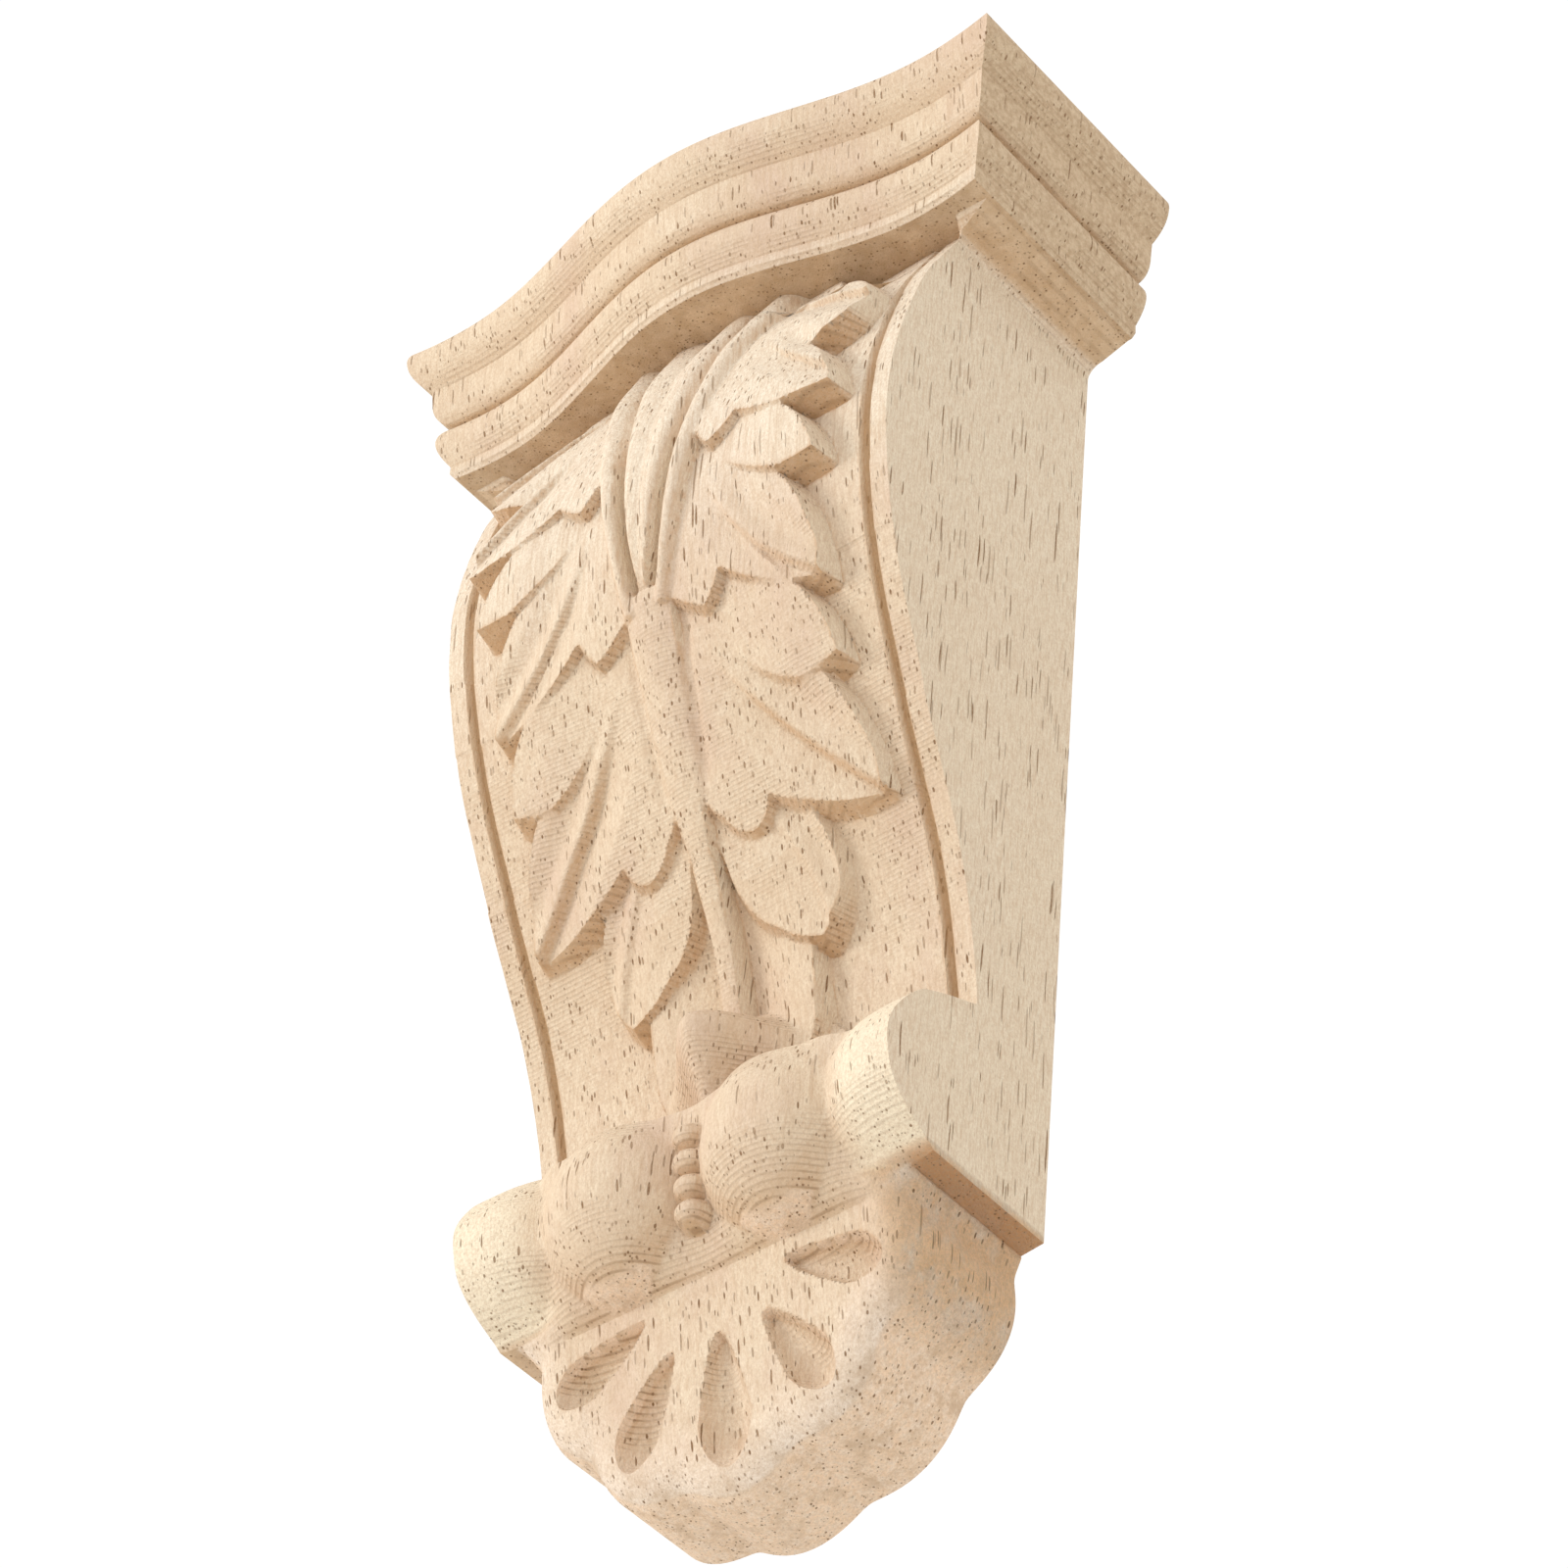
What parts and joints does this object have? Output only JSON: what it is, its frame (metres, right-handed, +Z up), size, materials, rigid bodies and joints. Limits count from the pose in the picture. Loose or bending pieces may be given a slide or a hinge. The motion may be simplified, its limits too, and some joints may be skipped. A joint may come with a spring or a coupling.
{
  "type": "wooden corbel",
  "caption": "Carved wooden corbel with a bowed moulded cap, an acanthus leaf on an S-shaped body, two balls with beads between them, ears and a fluted shell foot.",
  "frame": {"origin": "on the flat wall face, on the middle line, at half of the whole height", "axes": "+Z up, +Y out of the wall face into the wall, so the carved front looks along -Y; +X to the right seen from the front"},
  "size_m": [0.1, 0.0459, 0.197],
  "materials": {
    "bare_rubberwood": "bare wood, unpainted and unvarnished, with short dark pores and fine tool marks"
  },
  "bodies": {
    "root": {"corbel": "bare_rubberwood"}
  },
  "joints": []
}
